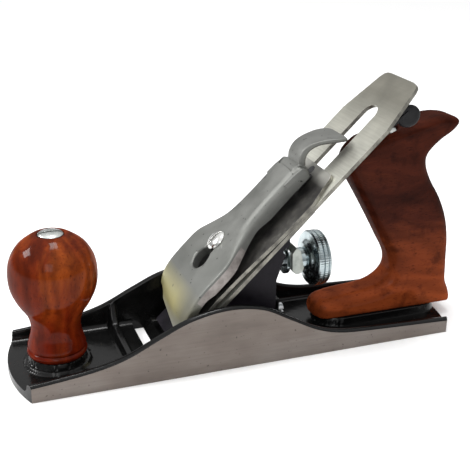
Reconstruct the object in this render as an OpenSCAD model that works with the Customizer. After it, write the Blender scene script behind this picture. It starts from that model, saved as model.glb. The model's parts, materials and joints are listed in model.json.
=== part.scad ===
// Bench smoothing plane with an adjustable frog, a double iron and a lever cap.
// Frame: +X runs from toe to heel, +Y to the far side, +Z up; the origin is on the
// sole's underside, on the centre line, midway between the corners of the sole.

/* [Sole] */
// Width of the sole
sole_w = 64.4; // [62:0.2:68]
// Thickness of the floor
floor_t = 4; // [3.4:0.1:4.4]
// Thickness of each cheek
cheek_t = 4; // [3:0.1:4.4]
// X of the two front corners
toe_x = -119; // [-122:0.5:-117]
// X of the two rear corners
heel_x = 120.6; // [118:0.2:124]
// How far the toe bows out past its corners
toe_bow = 7.2; // [3:0.2:8]
// How far the heel bows out past its corners
heel_bow = 6.2; // [3:0.2:7]
// Height of the cheeks at their crown
cheek_top = 36.7; // [32:0.1:38]

/* [Bed and irons] */
// Angle of the bed above the sole
bed_angle = 45; // [44:0.5:46]
// X at which the bed plane reaches the underside of the sole
bed_x = -48.9; // [-49.2:0.1:-48.6]
// Width of the plane iron
iron_w = 51; // [46:0.5:51]
// Thickness of the plane iron
iron_t = 2.2; // [2:0.1:2.4]
// Length of the plane iron
iron_len = 174.5; // [170:0.5:178]
// How far the irons are drawn back from the mouth
iron_back = 29; // [28:0.1:30]
// Turn of the irons on the bed
iron_skew = -1; // [-1.5:0.1:0]
// How much further down the bed the near end of the lever cap's edge reaches
cap_edge_lean = 7.4; // [0:0.2:8]

/* [Handles] */
// X of the front knob's axis
knob_x = -100.3; // [-102:0.1:-99]
// Largest radius of the knob
knob_r = 22.8; // [20:0.1:24]
// Thickness of the tote
tote_w = 23; // [20:0.5:25]

/* [Depth adjuster] */
// Height of the depth stud's axis
stud_z = 44; // [43:0.5:45]
// Radius of the depth wheel
wheel_r = 16; // [14:0.5:16.5]

/* [Hidden] */

$fn = 64;
eps = 0.01;
fit_gap = 0.05;                 // radial running clearance of shafts

// sole
inner_y = sole_w / 2 - cheek_t;
toe_r = (sole_w * sole_w / 4 + toe_bow * toe_bow) / (2 * toe_bow);
heel_r = (sole_w * sole_w / 4 + heel_bow * heel_bow) / (2 * heel_bow);
mouth_front = -53.2;
mouth_rear = -46.3;
mouth_half = 27.8;
rib_x = [-66, -62];
rib_z = 7.9;
knob_seat_z = 9;
tote_seat_z = 8.5;
tote_boss_w = 26;
tote_boss_x = [50, 128];
frog_seat_z = 8.4;
frog_seat_x = [-38.2, 14];
lug_x = [20.2, 23.3];

// height of the cheeks along the sole
cheek_line = [[toe_x - toe_bow - 1, 9.1], [toe_x + 5, 9.9], [-88, 13], [-70, 17.6], [-52, 26.2],
              [-35, 33.5], [-15, cheek_top], [4, 33.9], [20, 25.6], [36, 17.1],
              [50, 12.8], [68, 11.1], [heel_x - 5, 9], [heel_x + heel_bow + 1, 8.6]];

// knob: radius and height of its turned outline
knob_line = [[13.4, knob_seat_z], [15.2, 10.6], [15.8, 13.2], [15, 17], [13.2, 22.5],
             [13, 27], [14.6, 33], [19, 40.2], [22, 47.5], [knob_r, 55], [21.6, 63],
             [17.6, 70], [11.6, 74.8], [7.6, 76.6]];
knob_top = 76.6;
knob_nut_r = 6.5;
stud_r = 3.2;

// tote: outline in side view, from the underside round the front to the horn and back
tote_front = [[60, tote_seat_z], [50.5, 9.2], [47.4, 13.8], [51, 18.6], [62, 21], [78, 22.4],
              [88, 25], [94.6, 31], [94.4, 40], [87.6, 52.6], [79.6, 66.6], [71.6, 80],
              [65, 91], [62, 97.6], [64.2, 103], [72, 110.4]];
tote_back = [[84, 115.5], [100, 120.2], [116, 123.8], [126.6, 122.8], [131, 119.6],
             [127.4, 114.6], [118.6, 109], [112.8, 102], [112.6, 95.4], [117, 86],
             [124.4, 74.6], [130, 62], [133, 48], [133.6, 34], [134.2, 22], [137, 14.5],
             [137.4, tote_seat_z]];
tote_foot = [112, 4];           // lower end of the rod in side view
tote_head = [87.4, 117];        // upper end of the rod in side view
rod_tilt = atan2(tote_foot[0] - tote_head[0], tote_head[1] - tote_foot[1]);
rod_len = norm(tote_head - tote_foot);
tote_nut_r = 6.4;

// frog
frog_half = 21;
bed_t = 7;
bed_edge_t = 3.6;               // thickness of the bed plate along its sides
bed_top = 117;
web_y = [14, 18];
cap_screw_s = 70;
cap_screw_r = 3.2;
frog_screw_x = -17;
frog_screw_y = 9.5;
frog_screw_r = 2.8;
frog_slot_x = [frog_screw_x - 3, frog_screw_x + 1];
foot_t = 5;
adjust_z = 14.5;
adjust_r = 2.6;
neck_r = 1.7;
fork_x = [24.2, 25.2];          // fork that holds the neck of the frog adjusting screw
plate_screw_z = 28;
frog_rear = 17;
stud_axis_r = 3;
stud_x = 14;                    // front end of the depth stud
yoke_p = [22.5, 58];            // yoke pivot in side view
yoke_s = [86, 89];              // the yoke's tip, along the bed

// depth nut, along X
groove_x = [30.2, 34.8];
hub_flange_r = 7;
hub_x = [28.2, 40];             // front flange to the rear of the collar
hub_r = 6.8;
sleeve_r = 5.5;
wheel_x = [41, 51.7];

// lateral lever, along the bed
rivet_s = 104;
disc_s = 94.6;
disc_r = 2.8;
lever_half = 3.6;
lever_turn = -13;
lever_depth = 3;
lever_t = 1.5;
tab_s = 198;
tab_r = 7.5;

// irons, along the bed
slot_w = 12.9;
slot_s = [62, 183];
cap_iron_t = 2.2;
cap_iron_end = 137.5;
cap_iron_screw_s = 133.2;
cap_iron_screw_r = 2.6;
cap_iron_screw_head = [4, 2];  // radius and thickness
hump_h = 6.7;

// lever cap, along the bed
cap_under = 12.4;
cap_over = 17;
cap_skirt = 10.6;
cap_foot_s = 18.4;
cap_end_s = 129.2;
hinge_s = 126.5;
hinge_h = 11.6;
cam_r = 5.4;
cam_pin_r = 2;
cap_rivet_s = 110;

function catmull(a, b, c, d, t) =
    0.5 * (2 * b + (c - a) * t + (2 * a - 5 * b + 4 * c - d) * t * t
           + (3 * b - a - 3 * c + d) * t * t * t);
// smooth curve through the points p, n pieces between neighbours
function curve(p, n) = concat(
    [for (i = [0 : len(p) - 2]) for (k = [0 : n - 1])
        catmull(p[max(i - 1, 0)], p[i], p[i + 1], p[min(i + 2, len(p) - 1)], k / n)],
    [p[len(p) - 1]]);

// side-view outline (x, z) made solid between two values of y
module side(points, y) {
    translate([0, y[1], 0]) rotate([90, 0, 0]) linear_extrude(y[1] - y[0]) polygon(points);
}
// places children in the bed's frame: x up the slope, y across, z out of the bed
module bed() { translate([bed_x, 0, 0]) rotate([0, -bed_angle, 0]) children(); }
// turns children about the lever cap screw, in the bed's frame
module turned(a) {
    translate([cap_screw_s, 0, 0]) rotate([0, 0, a]) translate([-cap_screw_s, 0, 0]) children();
}
// block between two corners
module block(a, b) { translate(a) cube(b - a); }
// straight slot with round ends, along x
module slot_cut(x, w, z) {
    for (e = x) translate([e, 0, z[0]]) cylinder(d = w, h = z[1] - z[0]);
    block([x[0], -w / 2, z[0]], [x[1], w / 2, z[1]]);
}
// cylinder along X
module rod_x(x, r) { translate([x[0], 0, 0]) rotate([0, 90, 0]) cylinder(r = r, h = x[1] - x[0]); }
// cylinder along Y at a point in side view
module rod_y(p, y, r) {
    translate([p[0], y[1], p[1]]) rotate([90, 0, 0]) cylinder(r = r, h = y[1] - y[0]);
}
// slot across a screw head
module driver_slot(r, depth) { block([-r - 1, -0.7, -depth], [r + 1, 0.7, 1]); }

// the sole's plan, solid from 0 to h
module sole_plan(h) {
    half = sole_w / 2;
    block([-60, -half, 0], [60, half, h]);
    intersection() {
        block([toe_x - toe_bow, -half, 0], [-60 + eps, half, h]);
        translate([toe_x - toe_bow + toe_r, 0, 0]) cylinder(r = toe_r, h = h, $fn = 180);
    }
    intersection() {
        block([60 - eps, -half, 0], [heel_x + heel_bow, half, h]);
        translate([heel_x + heel_bow - heel_r, 0, 0]) cylinder(r = heel_r, h = h, $fn = 180);
    }
}

module cheeks() {
    line = curve(cheek_line, 5);
    outline = concat([[line[0][0], 0]], line, [[line[len(line) - 1][0], 0]]);
    intersection() {
        union() {
            side(outline, [-sole_w / 2, -inner_y]);
            side(outline, [inner_y, sole_w / 2]);
        }
        sole_plan(cheek_top + 1);
    }
}

module sole_body() color("#2a2b2d") difference() {
    union() {
        sole_plan(floor_t);
        cheeks();
        block([rib_x[0], -inner_y - eps, 1], [rib_x[1], inner_y + eps, rib_z]);
        block([frog_seat_x[0], -19, 1], [frog_seat_x[1], 19, frog_seat_z]);
        // round seat of the knob, with a flange
        translate([knob_x, 0, 1]) cylinder(r = 17.6, h = 5);
        translate([knob_x, 0, 1]) cylinder(r = 15.4, h = knob_seat_z - 1);
        // long seat of the tote
        tote_seat();
        // lug that carries the frog adjusting screw
        block([lug_x[0], -6, 1], [lug_x[1], 6, adjust_z + 5]);
    }
    side([[mouth_front, -1], [mouth_rear - 1, -1], [mouth_rear, 0], [mouth_rear + 6, 6],
          [mouth_front, 6]], [-mouth_half, mouth_half]);
    translate([knob_x, 0, 2]) cylinder(r = stud_r, h = 20);
    rod_hole(stud_r, 8);
    for (y = [-frog_screw_y, frog_screw_y])
        translate([frog_screw_x, y, 1.5]) cylinder(r = frog_screw_r, h = 20);
    translate([0, 0, adjust_z]) rod_x([10, 40], adjust_r + fit_gap);
}

module tote_seat() {
    half = tote_boss_w / 2;
    block([tote_boss_x[0] + half, -half, 1], [tote_boss_x[1] - half, half, tote_seat_z]);
    for (x = [tote_boss_x[0] + half, tote_boss_x[1] - half])
        translate([x, 0, 1]) cylinder(r = half, h = tote_seat_z - 1);
}

// the tote rod's axis, as a cylinder that reaches past both ends by extra
module rod_hole(r, extra) {
    translate([tote_foot[0], 0, tote_foot[1]]) rotate([0, -rod_tilt, 0])
        translate([0, 0, -1]) cylinder(r = r, h = rod_len + extra);
}

module front_knob() color("#a03a14") difference() {
    rotate_knob(concat([[0, knob_seat_z]], curve(knob_line, 4), [[0, knob_top]]));
    translate([knob_x, 0, 0]) {
        cylinder(r = stud_r, h = 100);
        translate([0, 0, knob_top - 6]) cylinder(r = knob_nut_r, h = 10);
    }
}
module rotate_knob(points) {
    translate([knob_x, 0, 0]) rotate_extrude($fn = 96) polygon(points);
}

module knob_stud() color("#b9bcc0")
    translate([knob_x, 0, 2]) cylinder(r = stud_r, h = knob_top - 6);

module knob_nut() color("#c3ccd2") translate([knob_x, 0, 0]) difference() {
    rotate_extrude() polygon([[0, knob_top - 6], [knob_nut_r, knob_top - 6],
        [knob_nut_r, knob_top - 0.2], [5.6, knob_top + 0.5], [3.4, knob_top + 1], [0, knob_top + 1.1]]);
    cylinder(r = stud_r, h = knob_top - 3.9 - eps);
    translate([0, 0, knob_top + 1]) driver_slot(knob_nut_r, 1.8);
}

module tote() color("#6e2a15") difference() {
    side(concat(curve(tote_front, 4), curve(tote_back, 4)), [-tote_w / 2, tote_w / 2]);
    rod_hole(stud_r, 20);
    tote_axis_from_head() cylinder(r = tote_nut_r, h = 20);
}
// places children at the seat of the tote nut, with z along the rod
module tote_axis_from_head() {
    translate([tote_foot[0], 0, tote_foot[1]]) rotate([0, -rod_tilt, 0])
        translate([0, 0, rod_len - 6]) children();
}
module tote_rod() color("#b9bcc0")
    translate([tote_foot[0], 0, tote_foot[1]]) rotate([0, -rod_tilt, 0])
        translate([0, 0, -1]) cylinder(r = stud_r, h = rod_len - 2.5);
module tote_nut() color("#c3ccd2") tote_axis_from_head() difference() {
    rotate_extrude() polygon([[0, 0], [tote_nut_r, 0], [tote_nut_r, 4.2], [5.4, 5], [3, 5.4], [0, 5.5]]);
    translate([0, 0, -1]) cylinder(r = stud_r, h = 3.5);
    translate([0, 0, 5.4]) driver_slot(tote_nut_r, 1.6);
}

// frog: foot, bed plate, side webs, middle web, stud boss and yoke ears
module frog() color("#232426") difference() {
    union() {
        intersection() {
            bed() {
                block([0, -frog_half, -bed_edge_t], [bed_top, frog_half, -fit_gap]);
                block([0, -13.5, -bed_t], [bed_top, 13.5, -fit_gap]);
            }
            block([-60, -40, frog_seat_z + fit_gap], [60, 40, 120]);
        }
        block([-35.3, -18, frog_seat_z + fit_gap], [frog_rear, 18, frog_seat_z + foot_t]);
        for (y = [[-web_y[1], -web_y[0]], web_y])
            side([[-35.3, 9], [frog_rear, 9], [frog_rear, 42], [24, 62], [24, 68], [21, 67], [-35.3, 10.8]], y);
        side([[-24, 10], [frog_rear, 10], [frog_rear, 50], [8, 50]], [-3.5, 3.5]);
        translate([0, 0, stud_z]) rod_x([0, 21], 6.5);
        for (y = [[-8.4, -4.2], [4.2, 8.4]]) {
            rod_y(yoke_p, y, 4.6);
            side([[8, 54], [yoke_p[0] + 1, yoke_p[1] - 4.5], [yoke_p[0] + 4, yoke_p[1] + 2.4],
                  [22, 64], [14, 58]], y);
        }
        bed() translate([cap_screw_s, 0, -13]) cylinder(r = 6.5, h = 10);
    }
    // slotted holes of the two holding screws and the wells above them
    for (y = [-frog_screw_y, frog_screw_y]) {
        translate([0, y, 0]) slot_cut(frog_slot_x, 2 * frog_screw_r + 1, [5, 20]);
        translate([0, y, 0]) slot_cut(frog_slot_x, 11, [frog_seat_z + foot_t, 60]);
    }
    bed() {
        translate([cap_screw_s, 0, -20]) cylinder(r = cap_screw_r + fit_gap, h = 40);
        // slot that the yoke's tip comes through
        block([80, -4, -20], [96, 4, 5]);
        // sunk way of the lateral lever and of the cap iron screw's head
        block([91, -10.5, -lever_depth - lever_t - 0.1], [bed_top + 1, 10.5, 5]);
        translate([rivet_s, 0, -bed_t - 1]) cylinder(r = 2, h = bed_t);
    }
    rod_y(yoke_p, [-20, 20], cam_pin_r);
    translate([0, 0, stud_z]) rod_x([stud_x, 40], stud_axis_r);
    translate([0, 0, plate_screw_z]) rod_x([4, 40], 2);
}

module frog_screws() color("#4a4c50") for (y = [-frog_screw_y, frog_screw_y])
    translate([frog_screw_x, y, 0]) difference() {
        union() {
            translate([0, 0, 1.5]) cylinder(r = frog_screw_r, h = 14);
            translate([0, 0, frog_seat_z + foot_t + 1.2]) cylinder(r = 4.6, h = 3.4);
        }
        translate([0, 0, frog_seat_z + foot_t + 4.6]) driver_slot(4.6, 1.6);
    }
module frog_washers() color("#b9bcc0") for (y = [-frog_screw_y, frog_screw_y])
    translate([frog_screw_x, y, frog_seat_z + foot_t + 0.06]) difference() {
        cylinder(r = 5.2, h = 1.14);
        translate([0, 0, -1]) cylinder(r = frog_screw_r, h = 4);
    }

// screw that moves the frog, with a neck that the plate's fork holds
module frog_adjusting_screw() color("#b9bcc0") translate([0, 0, adjust_z]) difference() {
    union() {
        rod_x([frog_rear + 1.5, fork_x[0] - 0.4], adjust_r);
        rod_x([fork_x[0] - 1, fork_x[1] + 1], neck_r);
        rod_x([fork_x[1] + 0.4, fork_x[1] + 3.8], 3.3);
    }
    block([fork_x[1] + 2.2, -6, -0.6], [fork_x[1] + 6, 6, 0.6]);
}
module frog_adjusting_plate() color("#b9bcc0") difference() {
    union() {
        block([frog_rear, -4.5, 21.6], [frog_rear + 1.4, 4.5, 34]);
        block([frog_rear, -4.5, 21.6], [fork_x[1], 4.5, 22.8]);
        block([fork_x[0], -4.5, 11], [fork_x[1], 4.5, 22.8]);
    }
    block([fork_x[0] - 1, -neck_r - fit_gap, 5], [fork_x[1] + 1, neck_r + fit_gap, adjust_z]);
    translate([0, 0, adjust_z]) rod_x([fork_x[0] - 1, fork_x[1] + 1], neck_r + fit_gap);
    translate([0, 0, plate_screw_z]) rod_x([10, 24], 2);
}
module plate_screw() color("#b9bcc0") translate([0, 0, plate_screw_z]) difference() {
    union() {
        rod_x([4, frog_rear + 2], 2);
        rod_x([frog_rear + 1.4, frog_rear + 3.6], 3.6);
    }
    block([frog_rear + 2.6, -5, -0.5], [frog_rear + 5, 5, 0.5]);
}

module depth_stud() color("#c9c4b8") translate([0, 0, stud_z]) rod_x([stud_x, 55], stud_axis_r);
module depth_nut_hub() color("#b5b2a6") translate([0, 0, stud_z]) difference() {
    union() {
        rod_x([hub_x[0], groove_x[0]], hub_flange_r);
        rod_x([hub_x[0] + 1, hub_x[1]], 4.6);
        rod_x([groove_x[1], groove_x[1] + 1.2], hub_flange_r - 0.6);
        rod_x([groove_x[1] + 1, hub_x[1]], hub_r - 0.7);
        rod_x([groove_x[1] + 2, hub_x[1]], hub_r);
        rod_x([hub_x[1] - 1, wheel_x[0] - fit_gap], 6.1);
        rod_x([hub_x[1], wheel_x[1] + 0.6], sleeve_r);
        rod_x([wheel_x[1] + fit_gap, wheel_x[1] + 1.4], 7);
    }
    rod_x([20, 60], stud_axis_r + fit_gap);
}
module depth_nut_wheel() color("#bcc6cc") translate([wheel_x[0], 0, stud_z])
    rotate([0, 90, 0]) rotate_extrude() polygon([
        [sleeve_r + fit_gap, 0], [7.6, 0], [9.4, 0.6], [12.6, 2.6], [wheel_r - 0.9, 3.2],
        [wheel_r, 4], [wheel_r, 5.8], [wheel_r - 0.9, 6.4], [wheel_r, 7], [wheel_r, 8.4],
        [wheel_r - 0.9, 9], [wheel_r - 0.2, 9.6], [wheel_r - 0.6, 10.7], [12, 10.7],
        [11, 9], [8.6, 9], [8, 10.7], [sleeve_r + fit_gap, 10.7]]);

// yoke: a finger up through the bed, and a fork whose nubs sit in the nut's groove
module depth_yoke() color("#a9aaa2") difference() {
    union() {
        rod_y(yoke_p, [-4, 4], 4);
        bed() block([yoke_s[0], -3, -10], [yoke_s[1], 3, 1.2]);
        side([[yoke_p[0] + 1, yoke_p[1] - 4], yoke_bar[0], yoke_bar[3], [yoke_p[0] + 3, yoke_p[1] + 2]],
             [-4, 4]);
        side(yoke_bar, [-12, 12]);
        for (y = [[-12, -8.6], [8.6, 12]]) {
            side([yoke_bar[0], [nub_x - 3.4, stud_z], [nub_x + 3.4, stud_z], yoke_bar[2]], y);
            rod_y([nub_x, stud_z], y, 3.4);
        }
        for (y = [[-8.8, -5.4], [5.4, 8.8]]) rod_y([nub_x, stud_z], y, 1.6);
    }
    rod_y(yoke_p, [-20, 20], cam_pin_r + fit_gap);
}
nub_x = (groove_x[0] + groove_x[1]) / 2;
yoke_bar = [[28.8, 53.2], [30.4, 51.8], [33.8, 54], [31, 56.4]];
module yoke_pin() color("#b9bcc0") rod_y(yoke_p, [-8.8, 8.8], cam_pin_r);

// lateral lever: flat arm on the sunk way, with a half-round finger tab
module lateral_lever() color("#1d1e20") bed() translate([rivet_s, 0, 0]) rotate([0, 0, lever_turn])
    difference() {
        union() {
            translate([disc_s - rivet_s, 0, -lever_depth - lever_t]) cylinder(r = lever_half, h = lever_t);
            block([disc_s - rivet_s, -lever_half, -lever_depth - lever_t], [20, lever_half, -lever_depth]);
            lever_arm();
            difference() {
                translate([tab_s - rivet_s - 6, 1, -lever_depth]) rotate([90, 0, 0])
                    cylinder(r = tab_r, h = 2);
                block([40, -5, -lever_depth], [120, 5, 20]);
            }
        }
        translate([0, 0, -10]) cylinder(r = 2 + fit_gap, h = 20);
    }
module lever_arm() {
    translate([0, 0, -lever_depth - lever_t]) linear_extrude(lever_t)
        polygon([[18, -lever_half], [tab_s - rivet_s + 2, -3], [tab_s - rivet_s + 2, 3], [18, lever_half]]);
}
module lateral_disc() color("#b9bcc0") bed() translate([rivet_s, 0, 0]) rotate([0, 0, lever_turn])
    translate([disc_s - rivet_s, 0, -lever_depth]) cylinder(r = disc_r, h = lever_depth + 1.9);
module lateral_rivet() color("#b9bcc0") bed() translate([rivet_s, 0, -bed_t]) {
    cylinder(r = 2, h = bed_t - lever_depth + 0.3);
    translate([0, 0, bed_t - lever_depth + fit_gap]) cylinder(r = 2.9, h = 0.7);
}

// plane iron: clipped top corners, long slot, ground bevel on its lower face
module plane_iron() color("#a9aaa2") bed() turned(iron_skew) difference() {
    half = iron_w / 2;
    top = iron_back + iron_len;
    linear_extrude(iron_t) polygon([
        [iron_back, -half], [top - 30, -half], [top - 4.5, 6.8 - half], [top - 1.8, 8.2 - half],
        [top - 0.5, 10.2 - half], [top, 13.2 - half], [top, half - 13.2], [top - 0.5, half - 10.2],
        [top - 1.8, half - 8.2], [top - 4.5, half - 6.8], [top - 30, half], [iron_back, half]]);
    slot_cut([slot_s[0] + slot_w / 2, slot_s[1] - slot_w / 2], slot_w, [-1, iron_t + 1]);
    side([[iron_back - 1, iron_t - 0.1], [iron_back, iron_t - 0.1], [iron_back + 4.6, 0],
          [iron_back + 4.6, -1], [iron_back - 1, -1]], [-half - 1, half + 1]);
}

// cap iron: bowed, so that only its lower edge bears on the plane iron
module cap_iron() color("#b0b0a6") bed() turned(iron_skew) difference() {
    half = iron_w / 2;
    low = iron_back + 1;
    bow = [[low + 5.6, 5.2], [low + 11, 6.3], [low + 18, hump_h], [low + 28, hump_h],
           [low + 40, 6.3], [low + 52, 5.5], [low + 64, 4.8], [low + 74, iron_t + cap_iron_t],
           [cap_iron_end, iron_t + cap_iron_t]];
    intersection() {
        side(concat([[low, iron_t], [low, iron_t + 0.5]], [for (p = bow) p],
                    [for (i = [len(bow) - 1 : -1 : 0]) bow[i] - [0, cap_iron_t]],
                    [[low + 0.8, iron_t]]), [-half, half]);
        linear_extrude(20) polygon([[low - 1, half], [low - 1, -half], [119, -half],
            [129, 3.4 - half], [135.6, 5 - half], [cap_iron_end, 7 - half],
            [cap_iron_end, half - 7], [135.6, half - 5], [129, half - 3.4], [119, half]]);
    }
    slot_cut([cap_screw_s, 102], 8.6, [-1, 20]);
    block([yoke_s[0] + 30.6, -3.4, -1], [yoke_s[1] + 31.8, 3.4, 20]);
    translate([cap_iron_screw_s, 0, -5]) cylinder(r = cap_iron_screw_r, h = 20);
}
module cap_iron_screw() color("#8f9294") bed() turned(iron_skew)
    translate([cap_iron_screw_s, 0, -cap_iron_screw_head[1]]) difference() {
        union() {
            cylinder(r = cap_iron_screw_head[0], h = cap_iron_screw_head[1]);
            cylinder(r = cap_iron_screw_r, h = cap_iron_screw_head[1] + iron_t + cap_iron_t);
        }
        block([-6, -0.7, -1], [6, 0.7, 0.9]);
    }

module lever_cap_screw() color("#c9ccd0") bed() translate([cap_screw_s, 0, 0]) difference() {
    union() {
        translate([0, 0, -12.5]) cylinder(r = cap_screw_r, h = 12.5 + cap_over + 1);
        translate([0, 0, cap_over + 0.1]) rotate_extrude() polygon([[0, 0], [6, 0], [6, 0.9],
            [5.3, 1.8], [4, 2.5], [2, 2.9], [0, 3]]);
    }
    translate([0, 0, cap_over + 3.1]) driver_slot(6, 1.5);
}

// lever cap: a hollow casting with a bevelled foot, a keyhole and two cam ears
module lever_cap() color("#9c9d98") bed() difference() {
    intersection() {
        union() {
            side([[cap_foot_s, 7], [cap_foot_s + 8, 7], [32, 9], [40, 11.2], [48, cap_under],
                  [cap_end_s, cap_under], [cap_end_s, cap_over - 1.4], [cap_end_s - 2, cap_over], [56, cap_over],
                  [46, 16.3], [38, 14.9], [30, 12.4], [cap_foot_s + 4, 9.2], [cap_foot_s, 7.8]],
                 [-30, 30]);
            difference() {
                block([44, -30, cap_skirt], [cap_end_s, 30, cap_under + 1]);
                linear_extrude(30) cap_plan(3);
            }
            for (y = [[-12.5, -8.6], [8.6, 12.5]]) {
                rod_y([hinge_s, hinge_h], y, 4.2);
                side([[hinge_s - 8, hinge_h - 4.2], [hinge_s, hinge_h - 4.2],
                      [hinge_s, hinge_h + 4.2], [hinge_s - 8, cap_over - 0.4]], y);
            }
        }
        linear_extrude(30) cap_plan(0);
    }
    // keyhole
    slot_cut([58, cap_screw_s], 7.4, [0, 30]);
    translate([57.6, 0, 0]) cylinder(r = 6.6, h = 30);
    translate([cap_rivet_s, 0, 0]) cylinder(r = 1.8, h = 30);
    rod_y([hinge_s, hinge_h], [-20, 20], cam_pin_r);
    // hollow that the cam's roller turns in
    rod_y([hinge_s, hinge_h], [-8.6, 8.6], cam_r + 0.2);
}
// plan of the lever cap, its long sides drawn in by d; the near end of its edge
// reaches cap_edge_lean further down the bed than the far end
module cap_plan(d) {
    far_foot = cap_foot_s + cap_edge_lean;
    w = curve([[44, 26.6], [60, 26.8], [67, 25.4], [76, 20], [86, 15], [98, 13], [112, 12.6],
               [cap_end_s, 12.5], [hinge_s + 5, 12.5]], 4);
    polygon(concat([[cap_foot_s, -26 + d]], [for (p = w) [p[0], -p[1] + d]],
                   [for (i = [len(w) - 1 : -1 : 0]) [w[i][0], w[i][1] - d]],
                   [[far_foot, 26 - d], [far_foot - 3, 13], [cap_foot_s + 2, 0]]));
}
module cap_spring() color("#8d8f90") bed() difference() {
    side([[106, cap_under], [114, cap_under], [120, 6], [131, 6], [131, 5], [119.4, 5],
          [113.4, cap_under - 1], [106, cap_under - 1]], [-7.6, 7.6]);
    translate([cap_rivet_s, 0, 0]) cylinder(r = 1.8, h = 30);
}
module spring_rivet() color("#8d8f90") bed() translate([cap_rivet_s, 0, 0]) {
    translate([0, 0, cap_under - 1]) cylinder(r = 1.8, h = cap_over - cap_under + 1.2);
    translate([0, 0, cap_under - 2]) cylinder(r = 2.8, h = 1);
}

// cam lever: a roller on the pin and a low curved thumb piece
module lever_cap_cam() color("#a8a9a6") bed() difference() {
    union() {
        rod_y([hinge_s, hinge_h], [-8.4, 8.4], cam_r);
        intersection() {
            side(concat(
                curve([[129.5, 15.5], [133, 18.4], [138, 19.6], [143, 18.4],
                       [148.6, 15.2], [153.6, 11.2], [158.6, 6.2]], 4),
                curve([[157, 5.2], [152, 9.4], [148, 12.5], [144, 15], [139, 16.4],
                       [135, 15.2], [132.6, 12.6], [129.4, 10.4]], 4)), [-12, 12]);
            linear_extrude(40) cam_plan();
        }
    }
    rod_y([hinge_s, hinge_h], [-20, 20], cam_pin_r + fit_gap);
}
// plan of the cam: a narrow neck that flares to a broad thumb end
module cam_plan() {
    edge = curve([[120, 7.6], [134, 7.6], [141, 8.2], [147, 9.6], [152, 11.3], [156, 12],
                  [158, 11], [159, 8]], 4);
    polygon(concat(edge, [for (i = [len(edge) - 1 : -1 : 0]) [edge[i][0], -edge[i][1]]]));
}
module cam_pin() color("#b9bcc0") bed() rod_y([hinge_s, hinge_h], [-12.45, 12.45], cam_pin_r);

sole_body();
front_knob();
knob_stud();
knob_nut();
tote();
tote_rod();
tote_nut();
frog();
frog_screws();
frog_washers();
frog_adjusting_screw();
frog_adjusting_plate();
plate_screw();
depth_stud();
depth_nut_hub();
depth_nut_wheel();
depth_yoke();
yoke_pin();
lateral_lever();
lateral_disc();
lateral_rivet();
plane_iron();
cap_iron();
cap_iron_screw();
lever_cap_screw();
lever_cap();
cap_spring();
spring_rivet();
lever_cap_cam();
cam_pin();
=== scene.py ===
import json
import math

import bmesh
import bpy
import numpy as np
from mathutils import Matrix, Vector


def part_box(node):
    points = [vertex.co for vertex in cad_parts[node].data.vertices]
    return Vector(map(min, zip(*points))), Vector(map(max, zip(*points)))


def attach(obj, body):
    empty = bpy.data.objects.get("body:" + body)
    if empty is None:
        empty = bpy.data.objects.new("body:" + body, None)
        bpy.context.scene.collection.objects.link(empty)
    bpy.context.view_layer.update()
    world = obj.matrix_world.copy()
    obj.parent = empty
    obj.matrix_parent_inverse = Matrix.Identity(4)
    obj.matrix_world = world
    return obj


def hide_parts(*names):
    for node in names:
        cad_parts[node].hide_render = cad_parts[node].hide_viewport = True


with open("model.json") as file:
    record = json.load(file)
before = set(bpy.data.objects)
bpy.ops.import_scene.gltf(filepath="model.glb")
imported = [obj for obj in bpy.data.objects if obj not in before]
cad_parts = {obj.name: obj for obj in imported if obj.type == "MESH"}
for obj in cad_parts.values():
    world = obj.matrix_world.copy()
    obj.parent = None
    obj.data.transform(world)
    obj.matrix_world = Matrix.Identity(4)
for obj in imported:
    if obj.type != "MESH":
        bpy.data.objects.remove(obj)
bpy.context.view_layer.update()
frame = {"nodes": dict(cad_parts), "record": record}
nodes = frame["nodes"]
body_of = {member: body for body, members in frame["record"]["behaviour"]["bodies"].items()
           for member in members}
slot_of = {item["node"]: item["material_slot"] for item in frame["record"]["subparts"]}
scene = bpy.context.scene
MM = 0.001
COS_45 = math.sqrt(0.5)
BED_FOOT_X = -48.9                      # where the frog's bed, sloping at 45 degrees, meets the ground
BED_NORMAL = (-COS_45, 0, COS_45)
NEAR_SIDE = (0, -1, 0)


def mm_box(node):
    """Low and high corner of a CAD node, in millimetres."""
    low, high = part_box(node)
    return np.array(low) / MM, np.array(high) / MM


# ---------------------------------------------------------------- camera
az, el, roll = (math.radians(v) for v in (-20.877, 21.974, 1.266))
target = Vector((0.77, 4.38, 61.67)) * MM
distance = 481.5 * MM
right = Vector((math.cos(az), math.sin(az), 0))
back = Vector((math.sin(az) * math.cos(el), -math.cos(az) * math.cos(el), math.sin(el)))
up = back.cross(right)
cam_right = right * math.cos(roll) + up * math.sin(roll)
cam_up = up * math.cos(roll) - right * math.sin(roll)
place = target + back * distance
cam_data = bpy.data.cameras.new("camera")
cam_data.sensor_width = 36
cam_data.lens = 66.85
cam_data.clip_start = 0.01
camera = bpy.data.objects.new("camera", cam_data)
scene.collection.objects.link(camera)
turn = Matrix((cam_right, cam_up, back)).transposed().to_4x4()
camera.matrix_world = Matrix.Translation(place) @ turn
scene.camera = camera
scene.view_settings.view_transform = "Standard"


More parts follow.
